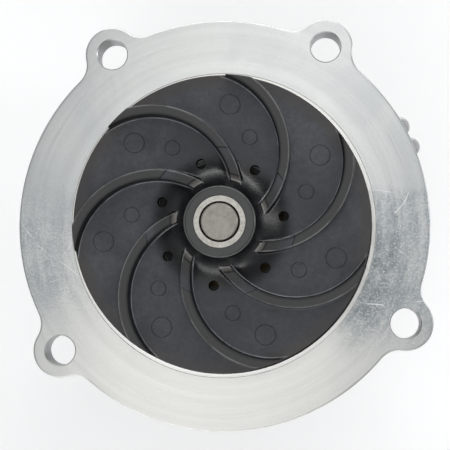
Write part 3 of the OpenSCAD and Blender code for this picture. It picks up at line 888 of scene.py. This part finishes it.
    def skin(self) -> Skin:
        """The whole casting as one closed surface, from the face down the outside and up the bore.

        A row is a circle of the section, an inset of the outline, or a mix of the two. Between
        the nose and the bowl a rib lifts each point part of the way from the section to the
        rib's sloping edge, by its height over the gap between them.

        Returns:
            The skin, without its drilled holes.
        """
        g, back, e = self.gasket_z, self.gasket_z - self.flange_t, self.edge
        bowl = back - 8.0
        d, up, (down, top) = self.rib_section()
        cols = len(d)

        def circles(path: np.ndarray, share: np.ndarray) -> np.ndarray:
            """Rows that are circles, from (radius, height) and the share of rib columns."""
            a = self.columns(np.repeat(path[:, :1], cols, 1), share[:, None])
            return np.stack([path[:, :1] * np.cos(a), path[:, :1] * np.sin(a), path[:, 1:] + 0 * a], 2)

        ear = self.columns(np.full((1, cols), 50.0), np.zeros((1, 1)))[0]
        p, n = self.outline(ear)

        def insets(depth: np.ndarray, z: np.ndarray) -> np.ndarray:
            """Rows that follow the outline, each inset by a depth along its normal."""
            xy = p - depth[:, None, None] * n
            return np.concatenate([xy, np.repeat(z[:, None, None], len(ear), 1)], 2)

        a = np.linspace(0, math.pi / 2, 5)
        mouth = circles(np.array([[self.step_r, g]]), np.zeros(1))
        brim = insets(np.array([e + 0.25]), np.array([g]))
        s = np.array([0.02, 0.2, 0.4, 0.6, 0.8, 1.0])[:, None, None]
        face = mouth * (1 - s) + brim * s
        edge = insets(e * (1 - np.sin(a)), g - e * (1 - np.cos(a)))
        wall = insets(np.zeros(4), np.array([g - e - 0.3, g - 4, back + 4, back + e + 0.3]))
        under = insets(e * (1 - np.cos(a)), back + e * (1 - np.sin(a)))
        ledge = insets(np.array([e + 0.25]), np.array([back]))
        root = circles(np.array([[self.bowl_r + 1.6, back]]), np.zeros(1))
        s = np.array([0.0, 0.3, 0.6, 0.9])[:, None, None]
        ledge = ledge * (1 - s) + root * s
        b = np.linspace(0, math.pi / 2, 5)
        side = np.concatenate([
            np.stack([self.bowl_r + 1.2 * (1 - np.sin(b)), back - 1.2 * (1 - np.cos(b))], 1),
            [[self.bowl_r, back - 1.9], [self.bowl_r, back - 2.6]],
        ])
        c = np.radians(np.linspace(0, -75, 9))
        bend = np.stack([self.bowl_r - 5 + 5 * np.cos(c), bowl + 5 + 5 * np.sin(c)], 1)
        outer = np.concatenate([side, bend])
        outside = circles(outer, np.clip(np.linspace(-0.35, 1.0, len(outer)), 0, 1))
        # from the bowl's edge in to the nose and down it, with the ribs
        q = np.radians(np.linspace(90, 180, 9))
        flare = np.stack([self.nose_r + 10 + 10 * np.cos(q), bowl - 10 + 10 * np.sin(q)], 1)
        path = np.concatenate([
            [bend[-1], [54.0, bowl], [52.0, bowl], [50.0, bowl], [47.0, bowl], [44.0, bowl], [41.0, bowl],
             [38.0, bowl]], flare,
            np.stack([np.full(14, self.nose_r), np.linspace(bowl - 12, 32.6, 14)], 1),
        ])
        t = np.concatenate([[0], np.cumsum(np.linalg.norm(np.diff(path, axis=0), axis=1))])
        t = (t / t[-1])[:, None]
        line = bend[-1] * (1 - t) + np.array([self.nose_r, 32.6]) * t
        gap = np.linalg.norm(line - path, axis=1)[:, None]
        k = np.minimum(1, gap / (self.rib_foot + 1.0))
        lift = np.where(top > 0.5, gap - down * k, up * k)
        w = np.clip(lift / np.maximum(gap, 1e-6), 0, 1)
        r = path[:, :1] + w * (line - path)[:, :1]
        z = path[:, 1:] + w * (line - path)[:, 1:]
        angles = self.columns(r, np.ones((len(path), 1)))
        flat = np.ones((len(path), self.between))
        r_all = np.concatenate([np.concatenate([r, flat * path[:, :1]], 1)] * self.ribs, 1)
        z_all = np.concatenate([np.concatenate([z, flat * path[:, 1:]], 1)] * self.ribs, 1)
        ribbed = np.stack([r_all * np.cos(angles), r_all * np.sin(angles), z_all], 2)
        # the nose's end, the bores and the cavity
        bearing, seal, floor = self.bearing_r, self.seal_r, g - self.cavity_t
        lower = rounded([
            (self.nose_r, 30.5, 0), (self.nose_r, self.nose_z, 1.4), (19.85, self.nose_z, 0.25),
            (bearing, 18.3, 0.2), (bearing, 19.3, 0), (20.4, 19.3, 0), (20.4, 21.0, 0),
            (bearing, 21.0, 0), (bearing, 40.0, 0), (bearing, 61.0, 0.3), (15.5, 61.0, 0.3),
            (15.5, 63.5, 0.3), (seal, 63.5, 0.3), (seal, 72.0, 0), (seal, g - 8, 0.3), (24.0, g - 8, 0.9),
            (24.0, floor, 3.0), (36.0, floor, 0), (self.opening_r, floor, 4.0), (self.opening_r, g - 3, 0),
            (self.opening_r, g - self.step_t, 0.3), (self.step_r, g - self.step_t, 0.12),
            (self.step_r, g, 0.0),
        ], loop=False)
        row = np.arange(len(lower) - 1)
        fade = np.interp(row, [len(lower) - 26, len(lower) - 8], [1.0, 0.0])
        inside = circles(lower[:-1], np.clip(fade, 0, 1))
        return Skin(np.concatenate([face, edge, wall, under, ledge, outside, ribbed[1:], inside, mouth]))

    def drills(self) -> list[Skin]:
        """The ear holes with their small chamfers, and the weep hole.

        Returns:
            A closed surface round each hole.
        """
        g, back, r, c = self.gasket_z, self.gasket_z - self.flange_t, self.ear_hole_r, 0.35
        path = np.array([(0, back - 2), (r + c, back - 2), (r + c, back), (r, back + c), (r, g - c),
                         (r + c, g), (r + c, g + 2), (0, g + 2)], float)
        holes = []
        for ear in np.radians(self.ears):
            holes.append(Skin.turned(path, 64, False).placed(
                "z", self.ear_pitch * math.cos(ear), self.ear_pitch * math.sin(ear), 0))
        weep = np.array([(0, 0), (2, 0), (2, 20), (0, 20)], float)
        holes.append(Skin.turned(weep, 32, False).placed("y", 0, -36.5, self.drain_z))
        return holes

    def build(self, material: bpy.types.Material) -> bpy.types.Object:
        """Makes the casting with its lugs and the boss of its drain reservoir.

        Args:
            material: its finish.

        Returns:
            The object.
        """
        mesh = drilled(mesh_of("casting", [self.skin()]), self.drills())
        extras = []
        low = self.gasket_z - self.flange_t + 0.04  # just above the flange's back
        top = self.gasket_z - self.lug_drop
        for angle in np.radians(self.lugs):
            r = self.flange_r + self.lug_reach - self.lug_r
            lug = Skin.turned(rounded([(0, low, 0), (self.lug_r, low, 0.5), (self.lug_r, top, 0.9),
                                       (0, top, 0)], False), 48, False)
            extras.append(lug.placed("z", r * math.cos(angle), r * math.sin(angle), 0))
        boss = rounded([(0, 20.5, 0), (8, 20.5, 0), (8, 36, 0.9), (5, 36, 0.3), (5, 30.5, 0),
                        (0, 30.5, 0)], False)
        extras.append(Skin.turned(boss, 64, False).placed("y", 0, 0, self.drain_z))
        mesh = joined([mesh, mesh_of("extras", extras)], "pump_housing")
        return piece("pump_housing", mesh, "housing", "cast_aluminium", material, "housing")


# --- Impeller -----------------------------------------------------------------------------------


@dataclass
class Impeller:
    """The moulded impeller: seven curved blades on a disc, with a hollow rising to its boss."""

    blade_top: float = field(default_factory=lambda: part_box("impeller")[1].z * METRE - 4.4)
    boss_top: float = field(default_factory=lambda: top_z("impeller"))
    back_z: float = field(default_factory=lambda: low_z("impeller"))
    radius: float = 51.1
    blades: int = 7
    first: float = 6.0  # angle of the first balance hole
    arc_r: float = 29.5
    arc_offset: float = 25.5
    arc_angle: float = 101.5
    half: float = 1.65  # half the thickness of a blade
    foot: float = 0.95  # round at the foot of a blade
    lip: float = 0.3  # round at the top of a blade
    tip_r: float = 50.6
    start_r: float = 14.5
    step_r: float = 25.5
    boss_r: float = 12.25
    bore_r: float = 8.9
    between: int = 17
    blade_h: float = 5.8  # height of a blade above the disc
    hollow_r: float = 16.0  # round of the hollow's floor
    hole_r: float = 1.8  # a balance hole
    hole_ring: float = 21.5  # radius that the balance holes lie on
    marks: tuple[tuple[float, float, float], ...] = MOULD_MARKS

    @property
    def disc_z(self) -> float:
        """Height of the disc's face between the blades."""
        return self.blade_top - self.blade_h

    def section(self) -> tuple[np.ndarray, np.ndarray, np.ndarray, np.ndarray]:
        """A blade's cross-section, from one side's foot over the top to the other's.

        Returns:
            Distances from its middle, heights above its foot, depths below its top, and which
            points belong to the top.
        """
        f, e, h = self.foot, self.lip, self.half
        a, b = np.radians([0, 18, 40, 64, 90]), np.radians([0, 30, 60, 90])
        d = np.concatenate([h + f - f * np.sin(a), h - e + e * np.cos(b), [h - 0.6, 0]])
        up = np.concatenate([f - f * np.cos(a), 0 * b, [0, 0]])
        down = np.concatenate([0 * a, e - e * np.sin(b), [0, 0]])
        top = np.concatenate([0 * a, 0 * b + 1, [1, 1]])
        back = slice(-2, None, -1)
        return tuple(np.concatenate([q * s, q[back] * t]) for q, s, t in
                     ((d, 1, -1), (up, 1, 1), (down, 1, 1), (top, 1, 1)))

    def columns(self, r: np.ndarray) -> np.ndarray:
        """Angles of all columns at each radius.

        A circle of radius q, centred c from the axis in direction b, crosses radius r at
        b - acos((r^2 + c^2 - q^2) / (2 r c)). A blade's columns are such circles, each its own
        distance from the blade's middle, and the rest are spread between two blades.

        Args:
            r: (rows, 1) radii.

        Returns:
            (rows, columns) angles in radians.
        """
        d, _, _, _ = self.section()
        r = np.clip(r, self.start_r, self.tip_r)
        cosine = (r**2 + self.arc_offset**2 - (self.arc_r + d)**2) / (2 * r * self.arc_offset)
        near = math.radians(self.first + self.arc_angle) - np.arccos(np.clip(cosine, -1, 1))
        step = TURN / self.blades
        gap = np.linspace(0, 1, self.between + 2)[1:-1]
        wide = near[:, -1:] + gap * (near[:, :1] + step - near[:, -1:])
        one = np.concatenate([near, wide], 1)
        return np.concatenate([one + k * step for k in range(self.blades)], 1)

    def skin(self) -> Skin:
        """The impeller as one closed surface, over the front, round the rim and in along the back.

        The hollow's floor is an arc: centre - sqrt(round^2 - (step radius - r)^2).

        Returns:
            The skin, without its balance holes and with a guide for the finish.
        """
        disc, size, back = self.disc_z, self.hollow_r, self.back_z
        centre = disc + size
        head = rounded([(self.bore_r, 104.0, 0), (self.bore_r, self.boss_top, 0.12),
                        (self.boss_r, self.boss_top, 0.85), (self.boss_r, 107.4, 0)], False)
        r = np.concatenate([
            [self.boss_r, 12.6, 13.1, 13.7, 14.3, 14.8, 15.1, 15.3, 15.45, 15.6, 15.8, 16.1, 16.6],
            [17.1, 17.26, 17.34, 17.5, 17.9], np.arange(18.5, 25.2, 0.75),
            [25.3, 25.46, 25.54, 25.66, 25.76, 25.84, 26.0, 26.4, 27.0],
            np.arange(28.0, 50.0, 1.0), [50.1, 50.34, 50.48, 50.56, self.tip_r, self.tip_r + 0.015]])
        arc = centre - np.sqrt(np.maximum(size**2 - (self.step_r - r)**2, 0))
        floor = np.where(r < self.step_r, arc, disc)
        step = self.blade_top - 0.6
        top = np.interp(r, [14.5, 17.3, self.step_r, self.step_r + 0.3],
                        [step - 2.4, step - 0.6, step, self.blade_top])
        off = np.array([0, 0.02, 0.08, self.lip])[::-1]
        top[-5:-1] -= np.interp(r[-5:-1], [50.36, 50.48, 50.56, 50.6], off[::-1])
        gap = np.maximum(top - floor, 0)[:, None]
        gap[-1] = 0
        d, up, down, which = self.section()
        k = np.minimum(1, gap / (self.foot + self.lip + 0.3))
        lift = np.where(which > 0.5, np.maximum(gap - down * k, 0), up * k)
        flat = np.zeros((len(r), self.between))
        lift = np.concatenate([np.concatenate([lift, flat], 1)] * self.blades, 1)
        tail = rounded([
            (self.tip_r + 0.03, disc, 0), (self.radius, disc, 0.45), (self.radius, disc - 4.5, 0.45),
            (18.6, disc - 4.5, 1.0), (18.6, back, 0.5), (15.5, back, 0.2), (15.5, back + 3.5, 0.2),
            (self.bore_r, back + 3.5, 0), (self.bore_r, 103.0, 0)], False)
        path = np.concatenate([head[:-1], np.stack([r, floor], 1), tail[1:]])
        a = self.columns(path[:, :1])
        z = path[:, 1:] + 0 * a
        rows = slice(len(head) - 1, len(head) - 1 + len(r))
        z[rows] += lift
        guide = np.full(a.shape + (2,), 4.0)
        off = np.concatenate([d, np.full(self.between, 4.0)])
        guide[rows, :, 0] = np.tile(np.abs(off), self.blades)
        guide[rows, :, 1] = np.tile(np.sign(off), self.blades)
        return Skin(np.stack([path[:, :1] * np.cos(a), path[:, :1] * np.sin(a), z], 2), True, guide)

    def build(self, material: bpy.types.Material) -> bpy.types.Object:
        """Makes the impeller with its balance holes and the small round moulding marks.

        Args:
            material: its finish.

        Returns:
            The object.
        """
        hole = np.array([(0, 90), (self.hole_r, 90), (self.hole_r, 112), (0, 112)], float)
        angles = np.radians(self.first + 360 / self.blades * np.arange(self.blades))
        ring = self.hole_ring
        drills = [Skin.turned(hole, 40, False).placed("z", ring * math.cos(a), ring * math.sin(a), 0)
                  for a in angles]
        body = drilled(mesh_of("impeller_body", [self.skin()]), drills)
        low, high = self.disc_z - 0.5, self.disc_z + 0.12
        marks = []
        for out, turn, size in self.marks:
            path = rounded([(0, low, 0), (size, low, 0), (size, high, 0.1), (0, high, 0)], False)
            mark = Skin.turned(path, 40, False)
            for a in angles + math.radians(turn):
                marks.append(mark.placed("z", out * math.cos(a), out * math.sin(a), 0))
        mesh = joined([body, mesh_of("marks", marks)], "pump_impeller")
        return piece("pump_impeller", mesh, "rotor", "impeller_plastic", material, "impeller")


# --- Turned pieces ---------------------------------------------------------------------------------


@dataclass
class ShaftGroup:
    """The turned pieces on the axis: shaft, impeller sleeve, drive hub and the drain's plug."""

    shaft_top: float = field(default_factory=lambda: top_z("shaft"))
    shaft_low: float = field(default_factory=lambda: low_z("shaft"))
    insert_top: float = field(default_factory=lambda: top_z("impeller_insert"))
    insert_low: float = field(default_factory=lambda: low_z("impeller_insert"))
    tip_r: float = 6.25
    shaft_r: float = 7.96
    pilot_r: float = 7.5
    insert_r: float = 8.9
    hub_r: float = 38.0
    hub_t: float = 8.0
    bolt_pitch: float = 29.0
    bolt_r: float = 3.4
    ball_d: float = 7.144
    ball_z: float = 32.0  # height of the ball row
    plug_r: float = 4.98

    def build_shaft(self, material: bpy.types.Material) -> bpy.types.Object:
        """Makes the shaft, with its pilot, ball groove and chamfered end.

        Args:
            material: its finish.

        Returns:
            The object.
        """
        z, low, pilot = self.shaft_top, self.shaft_low, self.pilot_r
        groove = self.ball_d / 2 + 0.2
        pitch = self.shaft_r - 0.28 + self.ball_d / 2
        reach = math.acos((pitch - self.shaft_r) / groove)
        a = np.linspace(math.pi + reach, math.pi - reach, 9)
        dip = [(pitch + groove * math.cos(q), self.ball_z + groove * math.sin(q), 0) for q in a]
        path = rounded([
            (0, low, 0), (pilot - 0.6, low, 0.1), (pilot, low + 0.6, 0.1), (pilot, 0, 0),
            (self.shaft_r, 0, 0), *dip, (self.shaft_r, 61.4, 0.15), (self.shaft_r - 0.6, 62, 0.15),
            (self.tip_r, 62, 0.3), (self.tip_r, z - 0.38, 0.12), (self.tip_r - 0.38, z, 0.12),
            (3.2, z, 0), (0, z, 0)], False)
        mesh = mesh_of("pump_shaft", [Skin.turned(path, 128, False)])
        return piece("pump_shaft", mesh, "rotor", "shaft_steel", material, "shaft")

    def build_insert(self, material: bpy.types.Material) -> bpy.types.Object:
        """Makes the steel sleeve in the impeller's boss.

        Args:
            material: its finish.

        Returns:
            The object.
        """
        low, z, r = self.insert_low, self.insert_top, self.insert_r
        path = rounded([(self.tip_r + 0.02, low, 0), (r, low, 0.1), (r, z, 0.16), (self.tip_r + 0.62, z, 0.1),
                        (self.tip_r + 0.62, z - 2.6, 0), (self.tip_r + 0.02, z - 3.2, 0)])
        mesh = mesh_of("impeller_sleeve", [Skin.turned(path, 128)])
        return piece("impeller_sleeve", mesh, "rotor", "insert_steel", material, "impeller_insert")

    def build_hub(self, material: bpy.types.Material) -> bpy.types.Object:
        """Makes the drive hub, with its four tapped holes and their thread.

        Args:
            material: its finish.

        Returns:
            The object.
        """
        r, t = self.hub_r, self.hub_t
        path = rounded([(self.shaft_r, 0, 0.3), (r, 0, 0.8), (r, t, 0.8), (15, t, 2.0), (15, t + 8, 0.8),
                        (self.shaft_r, t + 8, 0.3)])
        turns = np.arange(0, t + 0.01, 0.3125)
        crest = np.arange(len(turns)) % 4 < 2
        thread = np.stack([np.where(crest, self.bolt_r, self.bolt_r + 0.35), turns], 1)
        thread[0, 0] = thread[-1, 0] = self.bolt_r + 0.5
        wide, pitch = self.bolt_r + 0.9, self.bolt_pitch
        tool = np.concatenate([[(0, -1), (wide, -1), (wide, 0)], thread[1:-1],
                               [(wide, t), (wide, t + 1), (0, t + 1)]])
        drills = [Skin.turned(tool, 40, False).placed("z", pitch * math.cos(a), pitch * math.sin(a), 0)
                  for a in np.radians([0, 90, 180, 270])]
        mesh = drilled(mesh_of("hub_body", [Skin.turned(path, 160)]), drills)
        return piece("drive_hub_turned", mesh, "rotor", "hub_iron", material, "drive_hub")

    def build_plug(self, material: bpy.types.Material) -> bpy.types.Object:
        """Makes the pressed cup that closes the drain reservoir.

        Args:
            material: its finish.

        Returns:
            The object.
        """
        low, high = (c.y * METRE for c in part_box("weep_plug"))
        z = (low_z("weep_plug") + top_z("weep_plug")) / 2
        r = self.plug_r
        path = rounded([(0, low, 0), (r, low, 0.6), (r, high, 0.35), (4.1, high, 0.3),
                        (4.1, low + 1, 0.5), (0, low + 1, 0)], False)
        mesh = mesh_of("drain_plug", [Skin.turned(path, 64, False).placed("y", 0, 0, z)])
        return piece("drain_plug", mesh, "housing", "plug_steel", material, "weep_plug")


# --- Studio ---------------------------------------------------------------------------------------------


def facing(place: Sequence[float], aim: Sequence[float], up: Sequence[float] = (0, 0, 1)) -> Quaternion:
    """The turn that makes a lamp or camera look at a point, with its own Y towards up.

    Args:
        place: where it stands, in metres.
        aim: the point that it looks at.
        up: the direction that its own Y lies nearest to.

    Returns:
        The rotation.
    """
    back = (Vector(place) - Vector(aim)).normalized()
    right = Vector(up).cross(back).normalized()
    return Matrix((right, back.cross(right), back)).transposed().to_quaternion()


@dataclass
class Studio:
    """Pale floor, soft lights and the camera above the gasket face."""

    floor_z: float = field(default_factory=lambda: cad_box[0].z)
    eye: tuple[float, float, float] = (0.03045, -0.02802, 0.59177)
    aim: tuple[float, float, float] = (0.00069, -0.00005, 0.090)
    lens: float = 115.28

    def floor(self) -> None:
        """Makes the floor, a wide square sheet with a plain pale finish."""
        grid = np.linspace(-2.0, 2.0, 9)
        x, y = np.meshgrid(grid, grid, indexing="ij")
        points = np.stack([x, y, 0 * x + self.floor_z - 0.0003], 2).reshape(-1, 3)
        i, j = np.meshgrid(np.arange(8), np.arange(8), indexing="ij")
        a = (i * 9 + j).ravel()
        mesh = bpy.data.meshes.new("floor")
        mesh.from_pydata(points.tolist(), [], np.stack([a, a + 9, a + 10, a + 1], 1).tolist())
        s = Shader("floor")
        cloud = s.noise(2.0, 2.0).ramp(0.3, 0.7, 0.90, 0.93)
        pale = s.finish(Base_Color=s.scaled(s.vector(1.0, 1.0, 1.0), cloud), Roughness=0.9,
                        Specular_IOR_Level=0.2, Emission_Color=(1.0, 1.0, 1.0), Emission_Strength=0.215)
        mesh.materials.append(pale)
        floor = bpy.data.objects.new("floor", mesh)
        bpy.context.scene.collection.objects.link(floor)

    def light(self, name: str, place: tuple[float, float, float], size: tuple[float, float], power: float,
              up: tuple[float, float, float] = (0.0, 0.0, 1.0)) -> None:
        """Adds one soft rectangular light that looks at the pump.

        Args:
            name: the light's name.
            place: its centre, in metres.
            size: its width, and its length along up.
            power: its power, in watts.
            up: the direction that its length lies nearest to.
        """
        data = bpy.data.lights.new(name, "AREA")
        data.shape, data.size, data.size_y = "RECTANGLE", size[0], size[1]
        data.energy = power
        lamp = bpy.data.objects.new(name, data)
        lamp.location, lamp.rotation_mode = place, "QUATERNION"
        lamp.rotation_quaternion = facing(place, (0, 0, 0.09), up)
        bpy.context.scene.collection.objects.link(lamp)

    def camera(self) -> None:
        """Adds the camera above the pump, a little to one side, with +Y up in the picture."""
        data = bpy.data.cameras.new("camera")
        data.lens, data.sensor_width = self.lens, 36.0
        camera = bpy.data.objects.new("camera", data)
        camera.location, camera.rotation_mode = self.eye, "QUATERNION"
        camera.rotation_quaternion = facing(self.eye, self.aim, (0, 1, 0))
        bpy.context.scene.collection.objects.link(camera)
        bpy.context.scene.camera = camera

    def sky(self) -> None:
        """Makes the sky: bright near the horizon and dimmer overhead, by how high it is looked at."""
        world = bpy.data.worlds.new("sky")
        bpy.context.scene.world = world
        world.use_nodes = True
        tree = world.node_tree
        look = add_node(tree, "ShaderNodeTexCoord").outputs["Generated"]
        parts = add_node(tree, "ShaderNodeSeparateXYZ", None, {0: look})
        rise = {0: parts.outputs[2], 1: 0.10, 2: 0.65, 3: 0.80, 4: 0.34}
        strength = add_node(tree, "ShaderNodeMapRange", None, rise)
        shine = tree.nodes["Background"]
        shine.inputs["Color"].default_value = (0.97, 0.985, 1.0, 1.0)
        tree.links.new(strength.outputs[0], shine.inputs["Strength"])

    def build(self) -> None:
        """Makes the stage, the lights, the sky and the camera."""
        self.floor()
        self.light("soft_over", (-0.055, 0.02, 1.15), (0.36, 2.4), 3.1, (0.26, 0.97, 0.0))
        self.light("strip_far", (0.15, 1.0, 0.62), (1.4, 0.14), 5.0)
        self.light("strip_near", (-0.1, -1.0, 0.55), (1.4, 0.12), 3.4)
        self.light("strip_right", (0.95, 0.15, 0.60), (0.12, 0.9), 1.6)
        self.sky()
        bpy.context.scene.view_settings.view_transform = "Standard"
        self.camera()
        log.info("studio: floor at %.4f m, %d lights", self.floor_z, len(bpy.data.lights))


def dress(node: str, slot: str, material: bpy.types.Material) -> None:
    """Gives a CAD node that stays in view its finish.

    Args:
        node: the node's name.
        slot: its material slot, for the log.
        material: its finish.
    """
    shown = frame["nodes"][node]
    shown.data.materials.clear()
    shown.data.materials.append(material)
    log.info("%s keeps its CAD shape, with %s", node, slot)


def main() -> None:
    """Builds every piece in order, then the studio."""
    logging.basicConfig(level=logging.INFO, format="%(name)s: %(message)s")
    materials = {name: finish.build() for name, finish in FINISHES.items()}
    housing, impeller, group = Housing(), Impeller(), ShaftGroup()
    materials["cast_aluminium"] = CastAluminium(housing.gasket_z).build()
    plastic = ImpellerPlastic(impeller.disc_z, impeller.blade_top, impeller.step_r)
    materials["impeller_plastic"] = plastic.build()
    housing.build(materials["cast_aluminium"])
    impeller.build(materials["impeller_plastic"])
    group.build_shaft(materials["shaft_steel"])
    group.build_insert(materials["insert_steel"])
    group.build_hub(materials["hub_iron"])
    group.build_plug(materials["plug_steel"])
    for part in frame["record"]["subparts"]:
        node, slot = part["node"], part["material_slot"]
        if not frame["nodes"][node].hide_render:
            dress(node, slot, materials[slot])
    Studio().build()


if __name__ == "__main__":
    main()
